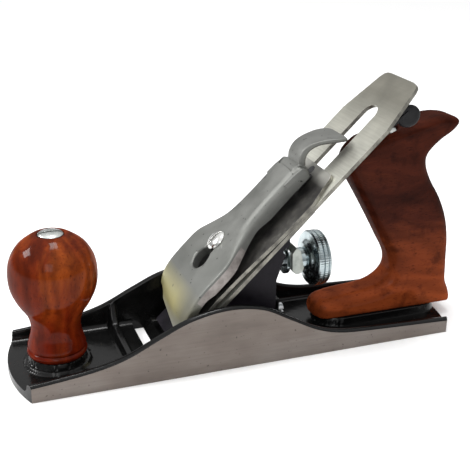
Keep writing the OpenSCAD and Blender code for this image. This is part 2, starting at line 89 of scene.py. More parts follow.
# ---------------------------------------------------------------- materials
class Nodes:
    """Short calls for building one material's nodes."""

    def __init__(self, name, rough=0.5, metal=0.0, **sockets):
        self.m = bpy.data.materials.new(name)
        self.m.use_nodes = True
        self.t = self.m.node_tree
        self.b = self.t.nodes["Principled BSDF"]
        self.b.inputs["Roughness"].default_value = rough
        self.b.inputs["Metallic"].default_value = metal
        for key, value in sockets.items():
            self.b.inputs[key.replace("_", " ")].default_value = value
        self.co = self.t.nodes.new("ShaderNodeTexCoord").outputs["Object"]

    def new(self, kind, **inputs):
        n = self.t.nodes.new(kind)
        for key, value in inputs.items():
            self.put(n.inputs[key.replace("_", " ")], value)
        return n

    def put(self, socket, value):
        if isinstance(value, bpy.types.NodeSocket):
            self.t.links.new(value, socket)
        else:
            socket.default_value = value

    def coords(self, scale=(1, 1, 1), turn=(0, 0, 0)):
        return self.new("ShaderNodeMapping", Vector=self.co, Scale=scale, Rotation=turn).outputs[0]

    def noise(self, scale, detail=4.0, rough=0.55, stretch=(1, 1, 1), turn=(0, 0, 0), warp=0.0):
        n = self.new("ShaderNodeTexNoise", Vector=self.coords(stretch, turn), Scale=scale,
                     Detail=detail, Roughness=rough, Distortion=warp)
        return n.outputs["Fac"]

    def ramp(self, fac, *stops):
        n = self.new("ShaderNodeValToRGB", Fac=fac)
        e = n.color_ramp.elements
        while len(e) < len(stops):
            e.new(0.5)
        for item, (pos, col) in zip(e, stops):
            item.position = pos
            item.color = (*col, 1)
        return n.outputs["Color"]

    def span(self, fac, low, high, start=0.3, end=0.7):
        n = self.new("ShaderNodeMapRange", Value=fac)
        for key, value in (("From Min", start), ("From Max", end), ("To Min", low), ("To Max", high)):
            n.inputs[key].default_value = value
        return n.outputs["Result"]

    def mix(self, fac, a, b):
        """Colour a where fac is 0, and the three numbers b where it is 1."""
        n = self.t.nodes.new("ShaderNodeMix")
        n.data_type = "RGBA"
        factor, colour_a, colour_b = (n.inputs[i] for i in (0, 6, 7))
        self.put(factor, fac)
        self.put(colour_a, a)
        self.put(colour_b, (*b, 1))
        return n.outputs[2]

    def math(self, how, a, b=0.0):
        n = self.t.nodes.new("ShaderNodeMath")
        n.operation = how
        self.put(n.inputs[0], a)
        self.put(n.inputs[1], b)
        return n.outputs[0]

    def part(self, axis):
        return self.new("ShaderNodeSeparateXYZ", Vector=self.co).outputs[axis]

    def along_bed(self):
        """Distance up the bed's slope, in metres."""
        x = self.math("ADD", self.part("X"), -BED_FOOT_X * MM)
        return self.math("MULTIPLY", self.math("ADD", x, self.part("Z")), COS_45)

    def bump(self, height, strength, depth):
        n = self.new("ShaderNodeBump", Height=height, Strength=strength, Distance=depth)
        self.t.links.new(n.outputs[0], self.b.inputs["Normal"])

    def colour(self, value):
        self.put(self.b.inputs["Base Color"], value)

    def rough(self, value):
        self.put(self.b.inputs["Roughness"], value)


def machined():
    k = Nodes("machined_iron", rough=0.5, metal=0.3, Specular_IOR_Level=0.35)
    broad = k.noise(22, 3, 0.6, (1, 1, 2.5))
    brush = k.noise(900, 3, 0.6, (0.03, 1, 1))
    specks = k.noise(500, 2, 0.5)
    base = k.ramp(broad, (0.3, (0.130, 0.105, 0.090)), (0.5, (0.18, 0.151, 0.132)),
                  (0.72, (0.225, 0.197, 0.178)))
    base = k.mix(k.span(brush, 0, 0.35), base, (0.095, 0.082, 0.072))
    base = k.mix(k.span(specks, 0, 0.85, 0.67, 0.73), base, (0.06, 0.045, 0.04))
    k.colour(base)
    k.rough(k.span(broad, 0.42, 0.58))
    k.bump(brush, 0.25, 0.00006)
    return k.m


def japan():
    k = Nodes("black_japan", rough=0.2, Coat_Weight=0.1, Coat_Roughness=0.06, Specular_IOR_Level=0.16)
    cloud = k.noise(60, 4, 0.6)
    cast = k.noise(420, 3, 0.55)
    k.colour(k.ramp(cloud, (0.3, (0.0015, 0.0015, 0.0015)), (0.7, (0.005, 0.005, 0.005))))
    k.rough(k.span(cloud, 0.14, 0.3))
    k.bump(cast, 0.35, 0.0003)
    return k.m


def frog_black():
    k = Nodes("frog_black", rough=0.45, Specular_IOR_Level=0.14)
    cloud = k.noise(80, 4, 0.6)
    cast = k.noise(600, 3, 0.6)
    k.colour(k.ramp(cloud, (0.3, (0.005, 0.004, 0.006)), (0.7, (0.013, 0.011, 0.015))))
    k.rough(k.span(cloud, 0.36, 0.55))
    k.bump(cast, 0.4, 0.0003)
    return k.m


def wood(name, dark, mid, light, low, stretch, turn, rough, figure, coat, streak, foot_share):
    """Varnished wood. low is the colour mixed in near the foot, by the given share: on the knob a redder
    tone of the wood, on the tote a far brighter colour that is painted light on its foot.
    """

    def shade(share):
        return [v * share for v in dark]

    k = Nodes(name, rough=rough, Coat_Weight=coat, Coat_Roughness=0.09, Specular_IOR_Level=0.0)
    wave = k.new("ShaderNodeTexWave", Vector=k.coords(stretch, turn), Scale=figure, Distortion=9.0,
                 Detail=4.0, Detail_Scale=1.4)
    broad = k.noise(30, 5, 0.66, stretch, turn, 1.4)
    mottle = k.noise(95, 4, 0.6)
    pores = k.noise(1100, 3, 0.65, stretch, turn)
    base = k.ramp(broad, (0.3, dark), (0.5, mid), (0.7, light))
    # towards the foot the colour turns to low: a redder tone on the knob, painted light on the tote's
    # foot
    base = k.mix(k.span(k.part("Z"), foot_share, 0, 0.014, 0.062), base, low)
    base = k.mix(k.span(mottle, 0, 0.55, 0.52, 0.68), base, shade(0.7))
    base = k.mix(k.math("MULTIPLY", wave.outputs["Fac"], streak), base, shade(0.5))
    base = k.mix(k.span(pores, 0, 0.6, 0.58, 0.7), base, shade(0.4))
    k.colour(base)
    k.rough(k.span(broad, rough - 0.05, rough + 0.12))
    k.bump(k.math("ADD", wave.outputs["Fac"], pores), 0.1, 0.00015)
    return k.m


def ground_steel():
    k = Nodes("ground_steel", rough=0.36, metal=0.85)
    broad = k.noise(45, 3, 0.55)
    cross = k.noise(1100, 3, 0.6, (1, 0.04, 1))
    base = k.ramp(broad, (0.3, (0.195, 0.187, 0.155)), (0.7, (0.285, 0.273, 0.23)))
    # painted light: the blade is painted lighter lower down the bed, standing in for the light and
    # reflection it catches there
    base = k.mix(k.span(k.along_bed(), 0, 0.95, 0.190, 0.135), base, (0.74, 0.74, 0.66))
    base = k.mix(k.span(cross, 0, 0.25), base, (0.16, 0.155, 0.13))
    k.colour(base)
    k.rough(k.span(broad, 0.3, 0.45))
    k.bump(cross, 0.2, 0.00004)
    return k.m


# the cap iron's top face: painted shade, dark where it lies in the lever cap's shadow and reflects the
# cap's dark underside, with grey smudges of painted reflection
def shaded_cap_iron():
    k = Nodes("cap_iron_painted_shade", rough=0.4, metal=0.6)
    broad = k.noise(70, 4, 0.65)
    base = k.ramp(broad, (0.35, (0.025, 0.023, 0.024)), (0.6, (0.065, 0.062, 0.056)),
                  (0.75, (0.16, 0.155, 0.14)))
    # painted light: lighter past the lever cap's end, out of its shadow
    k.colour(k.mix(k.span(k.along_bed(), 0, 0.9, 0.128, 0.134), base, (0.40, 0.395, 0.36)))
    k.rough(k.span(broad, 0.3, 0.5))
    k.bump(k.noise(900, 2, 0.5), 0.15, 0.00006)
    return k.m


def nickel():
    k = Nodes("nickel_cap", rough=0.48, metal=0.85)
    broad = k.noise(55, 4, 0.6)
    fine = k.noise(1500, 2, 0.5)
    pits = k.noise(330, 2, 0.5)
    base = k.ramp(broad, (0.3, (0.135, 0.138, 0.128)), (0.7, (0.21, 0.212, 0.20)))
    base = k.mix(k.span(k.along_bed(), 0.45, 0, 0.055, 0.090), base, (0.13, 0.135, 0.125))
    # painted reflection: a golden tint on the cap's foot stands in for the knob's wood reflected there,
    # fading towards the near edge
    tint = k.span(k.along_bed(), 1, 0, 0.030, 0.044)
    tint = k.math("MULTIPLY", tint, k.span(k.part("Y"), 0.2, 0.85, -0.021, -0.004))
    base = k.mix(tint, base, (0.52, 0.47, 0.22))
    # painted highlight: a light band along the foot's lower edge
    base = k.mix(k.span(k.along_bed(), 0.85, 0, 0.020, 0.027), base, (0.74, 0.74, 0.69))
    base = k.mix(k.span(pits, 0, 0.85, 0.70, 0.74), base, (0.03, 0.028, 0.025))
    k.colour(base)
    k.rough(k.span(broad, 0.44, 0.6))
    k.bump(k.math("ADD", fine, k.noise(420, 3, 0.6)), 0.2, 0.00012)
    return k.m


# dark brown for the lever cap's underside and skirt, as japanned; on the cam it is painted shade on the
# faces that face into the bed
def dark_underside_and_shade():
    k = Nodes("cap_underside_and_shade", rough=0.4, Specular_IOR_Level=0.3)
    broad = k.noise(140, 4, 0.65)
    k.colour(k.ramp(broad, (0.35, (0.010, 0.007, 0.006)), (0.58, (0.035, 0.024, 0.018)),
                    (0.74, (0.12, 0.10, 0.085))))
    k.bump(k.noise(500, 3, 0.6), 0.3, 0.0002)
    return k.m


def plated(name, col, tint, rough=0.2, metal=1.0):
    k = Nodes(name, rough=rough, metal=metal)
    broad = k.noise(160, 3, 0.6)
    fine = k.noise(2200, 2, 0.5)
    k.colour(k.ramp(broad, (0.3, tint), (0.65, col)))
    k.rough(k.span(fine, rough - 0.04, rough + 0.08))
    k.bump(fine, 0.1, 0.00004)
    return k.m


def black_steel():
    k = Nodes("black_steel", rough=0.4, Specular_IOR_Level=0.15)
    cloud = k.noise(150, 3, 0.6)
    k.colour(k.ramp(cloud, (0.3, (0.005, 0.005, 0.006)), (0.7, (0.015, 0.015, 0.016))))
    k.bump(k.noise(900, 2, 0.5), 0.2, 0.0001)
    return k.m


M = {
    "machined": machined(),
    "japan": japan(),
    "frog": frog_black(),
    "knob": wood("knob_wood", dark=(0.050, 0.006, 0.0015), mid=(0.115, 0.015, 0.003),
                 light=(0.25, 0.050, 0.007), low=(0.13, 0.008, 0.002), stretch=(1, 1, 0.3),
                 turn=(0, 0, 0), rough=0.2, figure=45, coat=0.17, streak=0.4, foot_share=0.7),
    # the tote's low colour is painted light: far brighter than its body, where light falls on the foot
    "tote": wood("tote_wood", dark=(0.022, 0.005, 0.003), mid=(0.056, 0.012, 0.006),
                 light=(0.115, 0.026, 0.010), low=(0.30, 0.060, 0.016), stretch=(0.25, 1, 1),
                 turn=(0, math.radians(38), 0), rough=0.28, figure=40, coat=0.08, streak=0.3, foot_share=0.9),
    "steel": ground_steel(),
    "shaded_cap_iron": shaded_cap_iron(),
    "inside": dark_underside_and_shade(),
    "edge": plated("iron_edge", (0.30, 0.29, 0.25), (0.10, 0.095, 0.085), 0.45, 0.8),
    # painted reflection: a lighter band for the cap's side walls, standing in for the lit floor they
    # reflect
    "bright": plated("painted_side_reflection", (0.32, 0.295, 0.28), (0.17, 0.15, 0.14), 0.5, 0.8),
    "nickel": nickel(),
    "plain": plated("plain_steel", (0.58, 0.59, 0.6), (0.42, 0.43, 0.44), 0.28),
    "dark": plated("dark_steel", (0.12, 0.12, 0.125), (0.06, 0.06, 0.062), 0.35, 0.8),
    "nut": plated("nut_plate", (0.58, 0.60, 0.58), (0.38, 0.40, 0.39), 0.24),
    "wheel": plated("wheel_plate", (0.47, 0.53, 0.54), (0.33, 0.39, 0.41), 0.2),
    "screw": plated("screw_plate", (0.74, 0.74, 0.72), (0.55, 0.55, 0.53), 0.16),
    "yoke": plated("yoke_steel", (0.40, 0.42, 0.39), (0.24, 0.26, 0.24), 0.4, 0.85),
    "black": black_steel(),
}


# ---------------------------------------------------------------- mesh helpers
WELD = 0.002 * MM


def finish_mesh(name, me, mats, body, slot, node, angle):
    """The object of a mesh, riding on its body; edges sharper than angle stay sharp."""
    me.validate()
    for m in mats:
        me.materials.append(m)
    me.shade_smooth()
    me.set_sharp_from_angle(angle=math.radians(angle))
    o = bpy.data.objects.new(name, me)
    scene.collection.objects.link(o)
    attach(o, body)
    if node:
        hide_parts(node)
    return o


def closed_mesh(name, verts, faces, index=None):
    """A mesh from vertices in millimetres, welded, with its normals outwards."""
    me = bpy.data.meshes.new(name)
    me.from_pydata([tuple(float(c) * MM for c in v) for v in verts], [], faces)
    if index is not None:
        me.polygons.foreach_set("material_index", index)
    bm = bmesh.new()
    bm.from_mesh(me)
    bmesh.ops.remove_doubles(bm, verts=bm.verts, dist=WELD)
    bmesh.ops.recalc_face_normals(bm, faces=bm.faces)
    bm.to_mesh(me)
    bm.free()
    return me


def build(name, verts, faces, mats, body, slot, node=None, index=None, angle=32):
    """One piece from vertices in millimetres, with a material index for each face."""
    me = closed_mesh(name, verts, faces, index)
    return finish_mesh(name, me, mats, body, slot, node, angle)


def break_edges(o, width, angle, harden=False):
    """A small bevel, width in millimetres, on edges sharper than angle."""
    cut = o.modifiers.new("edges", "BEVEL")
    cut.width = width * MM
    cut.segments = 2
    cut.limit_method = "ANGLE"
    cut.angle_limit = math.radians(angle)
    cut.use_clamp_overlap = True
    cut.harden_normals = harden


def ease(o, rounds):
    """Takes the grid's steps out of a surface made by surface_nets."""
    smooth = o.modifiers.new("ease", "SMOOTH")
    smooth.factor = 0.5
    smooth.iterations = rounds


def refine(node, mat, bevel, second=None, facing=None):
    """The CAD node's own shape with its flat faces joined and its edges broken.

    Faces that look along facing get the second material.
    """
    bm = bmesh.new()
    bm.from_mesh(nodes[node].data)
    bmesh.ops.remove_doubles(bm, verts=bm.verts, dist=WELD)
    bmesh.ops.dissolve_limit(bm, angle_limit=math.radians(0.6), verts=bm.verts, edges=bm.edges)
    me = bpy.data.meshes.new(node + "_piece")
    bm.to_mesh(me)
    bm.free()
    me.materials.clear()
    mats = [M[mat]] + ([M[second]] if second else [])
    o = finish_mesh(node + "_piece", me, mats, body_of[node], slot_of[node], node, 30)
    for p in me.polygons:
        p.material_index = 1 if second and p.normal.dot(Vector(facing)) > 0.8 else 0
    break_edges(o, bevel, 30, harden=True)


def bed(s, y, h):
    """The object's point that lies s up the bed's slope and h above the bed, in millimetres."""
    return (BED_FOOT_X + (s - h) * COS_45, y, (s + h) * COS_45)


def catmull(points, n):
    """A smooth curve through the points, with n steps between two of them."""
    p = [np.array(q, float) for q in points]
    out = []
    for i in range(len(p) - 1):
        a, b, c, d = p[max(i - 1, 0)], p[i], p[i + 1], p[min(i + 2, len(p) - 1)]
        for k in range(n):
            t = k / n
            out.append(0.5 * (2 * b + (c - a) * t + (2 * a - 5 * b + 4 * c - d) * t * t
                              + (3 * b - a - 3 * c + d) * t ** 3))
    out.append(p[-1])
    return np.array(out)


def smooth01(t):
    """A smooth step from 0 to 1."""
    t = np.clip(t, 0, 1)
    return t * t * (3 - 2 * t)


def rounded(a, b, r):
    """Signed distance to where a and b are both below r, with the edge between them rounded."""
    return np.hypot(np.maximum(a, 0), np.maximum(b, 0)) + np.minimum(np.maximum(a, b), 0) - r


def stacked(rings):
    """Verts and faces of a closed skin over rings of equally many points, with flat ends."""
    m, n = len(rings), len(rings[0])
    faces = [(i * n + j, i * n + (j + 1) % n, (i + 1) * n + (j + 1) % n, (i + 1) * n + j)
             for i in range(m - 1) for j in range(n)]
    faces += [tuple(reversed(range(n))), tuple(range((m - 1) * n, m * n))]
    return [p for ring in rings for p in ring], faces


def lathe(profile, segs, put, teeth=None):
    """Verts and faces of a turned shape: profile of (radius, height), put places (x, y, h).

    teeth gives the depth of a knurl at a profile point and an angle.
    """
    verts, faces = [], []
    n = len(profile)
    for k in range(segs):
        a = 2 * math.pi * k / segs
        for i, (r, h) in enumerate(profile):
            q = r - (teeth(i, a) if teeth else 0)
            verts.append(put(q * math.cos(a), q * math.sin(a), h))
    for k in range(segs):
        for i in range(n - 1):
            a, b = k * n + i, ((k + 1) % segs) * n + i
            faces.append((a, b, b + 1, a + 1))
    return verts, faces


def outline_distance(points, x, z):
    """Signed distance from each (x, z) to a closed outline, negative inside."""
    p = np.asarray(points, float)
    q = np.roll(p, -1, axis=0)
    best = np.full(x.shape, 1e9)
    inside = np.zeros(x.shape, bool)
    for a, b in zip(p, q):
        e = b - a
        length = e @ e
        if length < 1e-12:              # two points in one place
            continue
        t = np.clip(((x - a[0]) * e[0] + (z - a[1]) * e[1]) / length, 0, 1)
        d = (x - a[0] - t * e[0]) ** 2 + (z - a[1] - t * e[1]) ** 2
        best = np.minimum(best, d)
        crosses = (a[1] > z) != (b[1] > z)
        with np.errstate(divide="ignore", invalid="ignore"):
            at = a[0] + (z - a[1]) * e[0] / (e[1] if e[1] else 1e-12)
        inside ^= crosses & (x < at)
    return np.where(inside, -1, 1) * np.sqrt(best)


def surface_nets(field, origin, step):
    """Quads of the surface where field changes sign, on a regular grid."""
    inside = field < 0
    nx, ny, nz = field.shape
    cells = np.zeros((nx - 1, ny - 1, nz - 1))
    total = np.zeros((nx - 1, ny - 1, nz - 1, 3))
    corner = [(i, j, k) for i in (0, 1) for j in (0, 1) for k in (0, 1)]

    def at(arr, c):
        return arr[c[0]:nx - 1 + c[0], c[1]:ny - 1 + c[1], c[2]:nz - 1 + c[2]]

    # each cell's point is the middle of the places where the surface crosses its edges
    for a in corner:
        for axis in range(3):
            if a[axis]:
                continue
            b = tuple(1 if m == axis else a[m] for m in range(3))
            fa, fb = at(field, a), at(field, b)
            hit = at(inside, a) != at(inside, b)
            t = np.where(hit, fa / np.where(hit, fa - fb, 1), 0)
            cells += hit
            for m in range(3):
                total[..., m] += np.where(hit, a[m] + (t if m == axis else 0), 0)
    used = cells > 0
    index = -np.ones(used.shape, int)
    index[used] = np.arange(used.sum())
    where = np.argwhere(used)
    verts = (where + total[used] / cells[used][:, None]) * step + origin
    faces = []
    # one quad round each grid edge that the surface crosses
    for axis in range(3):
        u, v = (axis + 1) % 3, (axis + 2) % 3
        a = [slice(None)] * 3
        b = [slice(None)] * 3
        a[axis] = slice(0, -1)
        b[axis] = slice(1, None)
        for m in (u, v):
            a[m] = b[m] = slice(1, -1)
        cross = inside[tuple(a)] != inside[tuple(b)]
        for c in np.argwhere(cross):
            c = c.copy()
            c[u] += 1
            c[v] += 1
            quad = []
            for du, dv in ((0, 0), (-1, 0), (-1, -1), (0, -1)):
                g = c.copy()
                g[u] += du
                g[v] += dv
                quad.append(int(index[tuple(g)]))
            if min(quad) >= 0:
                faces.append(quad)
    return verts, faces


# ---------------------------------------------------------------- sole casting
HALF = 32.2                             # half the width
TOE_X, HEEL_X = -119, 120.6             # corners of the two curved ends
TOE_BOW, HEEL_BOW = 7.2, 6.2            # how far the ends bow out past their corners
GRID_TOE, GRID_HEEL = -127.2, 127.8     # the grid, before its ends are bent to those arcs
BEND_X = 100                            # it is straight up to here, both ways
FLOOR = 4.0
MOUTH = (-53.2, -41.5)
MOUTH_REAR_LOW = -46.3                  # the mouth's rear wall leans with the bed
MOUTH_HALF = 27.8
KNOB_X = -100.3                         # middle of the knob's round seats
CHEEK = catmull([(-127.2, 9.1), (-114, 9.9), (-88, 13), (-70, 17.6), (-52, 26.2), (-35, 33.5),
                 (-15, 36.7), (4, 33.9), (20, 25.6), (36, 17.1), (50, 12.8), (68, 11.1),
                 (115.6, 9), (127.8, 8.6)], 8)


def bow_out(bow, y):
    """How far an end's arc stands past its corners at y."""
    r = (HALF ** 2 + bow ** 2) / (2 * bow)
    return bow - r + np.sqrt(r * r - y * y)


def raised(d, height, draft=1.3):
    """Height of a boss above the floor where d is the distance inside its outline."""
    return height * smooth01(d / draft + 0.5)


def floor_height(x, y):
    """The inside of the casting: seats of the knob, tote and frog, cross rib and lug."""
    from_knob = np.hypot(x - KNOB_X, y)
    from_tote = np.hypot(x - np.clip(x, 63, 115), y)
    rib = 2.4 - np.abs(x + 64)
    rib_height = 3.9 + 7.5 * smooth01((np.abs(y) - 19) / 9) ** 2      # it climbs the cheeks
    frog_seat = np.minimum(26.1 - np.abs(x + 12.1), 19 - np.abs(y))
    lug = np.minimum(1.55 - np.abs(x - 21.75), 6 - np.abs(y))
    bosses = (raised(17.6 - from_knob, 2.0), raised(15.4 - from_knob, 5.0),
              raised(13 - from_tote, 4.5), raised(rib, rib_height, 2.2),
              raised(frog_seat, 4.4, 1.0), raised(lug, 15.5, 0.7))
    return FLOOR + np.maximum.reduce(bosses)


def sole():
    """Cheeks, inside, underside and mouth, all on one grid of x and y."""

    def run(a, b, step):
        n = max(1, round((b - a) / step))
        return list(np.linspace(a, b, n, endpoint=False))

    xs = (run(GRID_TOE, -67, 0.8) + run(-67, -60.5, 0.45) + run(-60.5, MOUTH[0], 1.0)
          + run(*MOUTH, 1.2) + run(MOUTH[1], -39.5, 0.4) + run(-39.5, 13, 1.3)
          + run(13, 19, 0.8) + run(19, 25, 0.3) + run(25, GRID_HEEL, 0.8) + [GRID_HEEL])
    xs = np.array(xs)
    flat = np.arange(-24.6, 24.61, 0.6)
    # the cheek's section from the outer face over the rim, and down to the floor
    rim = [(HALF, -2.4), (HALF, -1.5), (32.1, -1.2), (31.75, -0.9), (31.1, -0.25), (30.2, 0),
           (29.3, -0.2), (28.7, -0.75), (28.35, -1.5)]
    fillet = [(28.2, 3.2), (27.95, 2.2), (27.6, 1.5), (26.9, 0.8), (26.1, 0.3), (25.3, 0.05)]
    ys = [-HALF] + [-r[0] for r in rim] + [-q[0] for q in fillet] + list(flat)
    ys = np.array(ys + [q[0] for q in reversed(fillet)] + [r[0] for r in reversed(rim)] + [HALF])
    nu, nv = len(xs), len(ys)
    X, Y = np.meshgrid(xs, ys, indexing="ij")
    toe = TOE_X - bow_out(TOE_BOW, Y)
    heel = HEEL_X + bow_out(HEEL_BOW, Y)
    front, rear = X < -BEND_X, X > BEND_X
    X = np.where(front, -BEND_X + (X + BEND_X) * (toe + BEND_X) / (GRID_TOE + BEND_X), X)
    X = np.where(rear, BEND_X + (X - BEND_X) * (heel - BEND_X) / (GRID_HEEL - BEND_X), X)
    top = np.interp(X, CHEEK[:, 0], CHEEK[:, 1])
    floor = floor_height(X, Y)
    Z = floor.copy()
    for i in range(1 + len(rim) + len(fillet)):
        for j in (i, nv - 1 - i):
            if i == 0:
                Z[:, j] = 0
            elif i <= len(rim):
                Z[:, j] = top[:, j] + rim[i - 1][1]
            else:
                Z[:, j] = np.minimum(floor[:, j] + fillet[i - 1 - len(rim)][1], top[:, j] - 1.7)
    # the underside follows the same grid, but for the mouth's leaning wall
    settle = -30                        # where it falls in with the grid again
    under = np.interp(X, [*MOUTH, settle], [MOUTH[0], MOUTH_REAR_LOW, settle])
    under = np.where((X > MOUTH[0]) & (X < settle), under, X)
    verts = [(X[i, j], Y[i, j], Z[i, j]) for i in range(nu) for j in range(nv)]
    verts += [(under[i, j], Y[i, j], 0) for i in range(nu) for j in range(nv)]
    faces, index = [], []
    low = nu * nv
    mid_x, mid_y = (xs[:-1] + xs[1:]) / 2, (ys[:-1] + ys[1:]) / 2
    hole = np.outer((mid_x > MOUTH[0]) & (mid_x < MOUTH[1]), np.abs(mid_y) < MOUTH_HALF)
    for i in range(nu - 1):
        for j in range(nv - 1):
            a, b, c, d = i * nv + j, (i + 1) * nv + j, (i + 1) * nv + j + 1, i * nv + j + 1
            outer = j < 2 or j > nv - 4     # the cheeks' outer faces
            if not hole[i, j]:
                faces.append((a, b, c, d))
                index.append(0 if outer else 1)
                if not outer:
                    faces.append((a + low, d + low, c + low, b + low))
                    index.append(0)
            else:
                for di, dj, p, q in ((-1, 0, a, d), (1, 0, c, b), (0, -1, b, a), (0, 1, d, c)):
                    if not hole[i + di, j + dj]:
                        faces.append((p, q, q + low, p + low))
                        index.append(1)
    for i in (0, nu - 1):
        for j in range(1, nv - 2):
            a, d = i * nv + j, i * nv + j + 1
            faces.append((a, d, d + low, a + low))
            index.append(1)
    build("sole_casting", verts, faces, [M["machined"], M["japan"]], "sole", "casting",
          "sole_body", index, angle=38)


sole()


# ---------------------------------------------------------------- handles
def front_knob():
    low, high = mm_box("front_knob")
    cx = (low[0] + high[0]) / 2
    line = [(13.2, 9), (14.6, 9.3), (15.5, 10.4), (15.7, 11.6), (15.2, 12.5), (14.7, 13.1),
            (15.2, 13.9), (15.1, 15.2), (14.2, 18.5), (13.2, 22.5), (13, 27), (14.6, 33),
            (19, 40.2), (22, 47.5), (22.8, 55), (21.6, 63), (17.6, 70), (11.6, 74.8),
            (8.4, 76.4), (7.0, 76.3)]
    nut_recess = [(6.75, 75.6), (6.7, 70.8)]
    prof = [(0.5, 9)] + [tuple(p) for p in catmull(line, 5)] + nut_recess
    v, f = lathe(prof, 128, lambda x, y, h: (cx + x, y, h))
    build("knob_turned", v, f, [M["knob"]], "sole", "handle_wood", "front_knob", angle=50)


def tote():
    """The open handle: its outline in side view, with rounded edges and a well for the nut."""
    outline_front = [(60, -4), (49.4, -4), (47.6, 8), (47.4, 13.8), (51, 18.6), (62, 21), (78, 22.4),
                     (88, 25), (94.6, 31), (94.4, 40), (87.6, 52.6), (79.6, 66.6), (71.6, 80),
                     (65, 91), (61.6, 99), (64, 106), (72, 112)]
    outline_back = [(84, 115.5), (100, 120.2), (116, 123.8), (126.6, 122.8), (131, 119.6),
                    (127.4, 114.6), (118.6, 109), (112.8, 102), (112.6, 95.4), (117, 86),
                    (124.4, 74.6), (130, 62), (133, 48), (133.6, 34), (134.2, 22), (136.8, 15),
                    (137.4, 9), (137, -4)]
    outline = np.vstack([catmull(outline_front, 5), catmull(outline_back, 5)])
    step = 0.9
    gx = np.arange(44, 141, step)
    gy = np.arange(-13.5, 13.6, step)
    gz = np.arange(6, 127, step)
    x2, z2 = np.meshgrid(gx, gz, indexing="ij")
    d2 = outline_distance(outline, x2, z2)
    # half the thickness, less in the horn and in the grip, and the radius of the edges
    width = 11.6 - 2.2 * smooth01((z2 - 96) / 22) * smooth01((x2 - 100) / 26)
    width = width - 0.9 * smooth01((z2 - 24) / 20) * smooth01((100 - z2) / 20)
    r = 8.6 - 4.6 * smooth01((z2 - 100) / 14)
    r = r - 2.6 * smooth01((18 - z2) / 10) * smooth01((x2 - 100) / 20)
    x, y, z = np.meshgrid(gx, gy, gz, indexing="ij")
    d, w, r = d2[:, None, :], width[:, None, :], r[:, None, :]
    f = rounded(d + r, np.abs(y) - (w - r), r)
    seat_z = 8.55
    f = np.maximum(f, seat_z - z)
    # the well of the nut at the top of the rod
    foot_x, foot_z, top_x, top_z = 112, 4, 87.4, 117
    well_r, well_deep = 6.6, 6
    tilt = math.atan2(foot_x - top_x, top_z - foot_z)
    length = math.hypot(foot_x - top_x, top_z - foot_z)
    along = (z - foot_z) * math.cos(tilt) - (x - foot_x) * math.sin(tilt)
    across = np.sqrt(np.maximum((x - foot_x) ** 2 + (z - foot_z) ** 2 - along ** 2, 0) + y ** 2)
    f = np.maximum(f, -np.maximum(across - well_r, (length - well_deep) - along))
    v, faces = surface_nets(f, np.array([gx[0], gy[0], gz[0]]), step)
    o = build("tote_shaped", v, faces, [M["tote"]], "sole", "handle_wood", "tote", angle=60)
    ease(o, 3)


front_knob()
tote()


# ---------------------------------------------------------------- lever cap and cam
CAP_FOOT, CAP_END = 18.4, 129.2         # along the bed
PIN_S, PIN_H = 126.5, 11.6              # the cam's pin
SLOT_HALF, SLOT_END = 3.9, 70           # the keyhole's slot and round end
KEY_S, KEY_R = 57.6, 6.6


def cap_shell():
    """The cap's skin through its cross-sections along the bed."""
    wide = catmull([(18.4, 26.0), (30, 26.2), (44, 26.6), (60, 26.8), (67, 25.4), (76, 20),
                    (86, 15), (98, 13), (112, 12.6), (131, 12.5)], 6)
    crown = catmull([(18.4, 7.7), (20, 8.7), (24, 11.0), (30, 13.5), (36, 15.35), (42, 16.5),
                     (48, 16.95), (56, 17), (72, 17), (100, 17), (120, 17), (126, 16.95),
                     (128, 16.6), (129.2, 15.5)], 8)
    inner = catmull([(18.4, 7.0), (26, 7.2), (32, 9), (40, 11.2), (48, 12.3), (58, 12.4),
                     (90, 12.4), (129.2, 12.4)], 8)
    wall, lean = 2.6, 7.4
    ss = np.concatenate([np.linspace(CAP_FOOT, 50, 46), np.linspace(51, 60, 8),
                         np.linspace(61, 90, 34), np.linspace(91, 127, 20), [128, 128.8, CAP_END]])

    def place(s, y, h):
        """The lower edge runs askew, and its far corner is rounded."""
        askew, corner = 0, 0
        if s < 48:
            fade = (1 - smooth01((s - CAP_FOOT) / 26)) * (1 - (s - CAP_FOOT) / 30)
            askew = max(lean * (y + 26) / 52 * fade, 0)
        if y > 0:
            corner = 3.2 * (1 - smooth01((s - CAP_FOOT) / 7)) * smooth01((y - 17) / 9)
        return bed(s + askew + corner, y, h)

    bend, across = 8, 32                # points round each rim, and between the rims
    rings = []
    for s in ss:
        w, t, u = (np.interp(s, curve[:, 0], curve[:, 1]) for curve in (wide, crown, inner))
        skirt = u - (u - 10.6) * smooth01((s - 42) / 8) - 2.0 * smooth01((s - 88) / 12)
        r = min(1.2 + 2.6 * smooth01((s - 66) / 20), (t - skirt) * 0.62)
        arc = [(w - r + r * math.cos(a), t - r + r * math.sin(a))
               for a in np.linspace(math.pi / 2, 0, bend)]
        dome = [(y, t + 0.35 * (1 - (y / w) ** 2)) for y in np.linspace(-w + r, w - r, across + 2)[1:-1]]
        ring = [(-y, h) for y, h in reversed(arc)] + dome + arc
        ring += [(w, skirt), (w - wall, skirt), (w - wall - 0.4, u), (-w + wall + 0.4, u),
                 (-w + wall, skirt), (-w, skirt)]
        rings.append([place(s, y, h) for y, h in ring])
    verts, faces = stacked(rings)
    outer, n = 2 * bend + across, len(rings[0])
    index = []
    for s in ss[:-1]:
        for j in range(n):
            # the cap's side walls from 40 to 76 mm up the bed get the painted reflection
            painted_side_reflection = j in (outer - 1, n - 1) and 40 < s < 76
            index.append(1 if outer <= j < n - 1 else 2 if painted_side_reflection else 0)
    return build("lever_cap_shell", verts, faces, [M["nickel"], M["inside"], M["bright"]], "cap",
                 "nickel_cap", "lever_cap", index + [0, 0], angle=35)


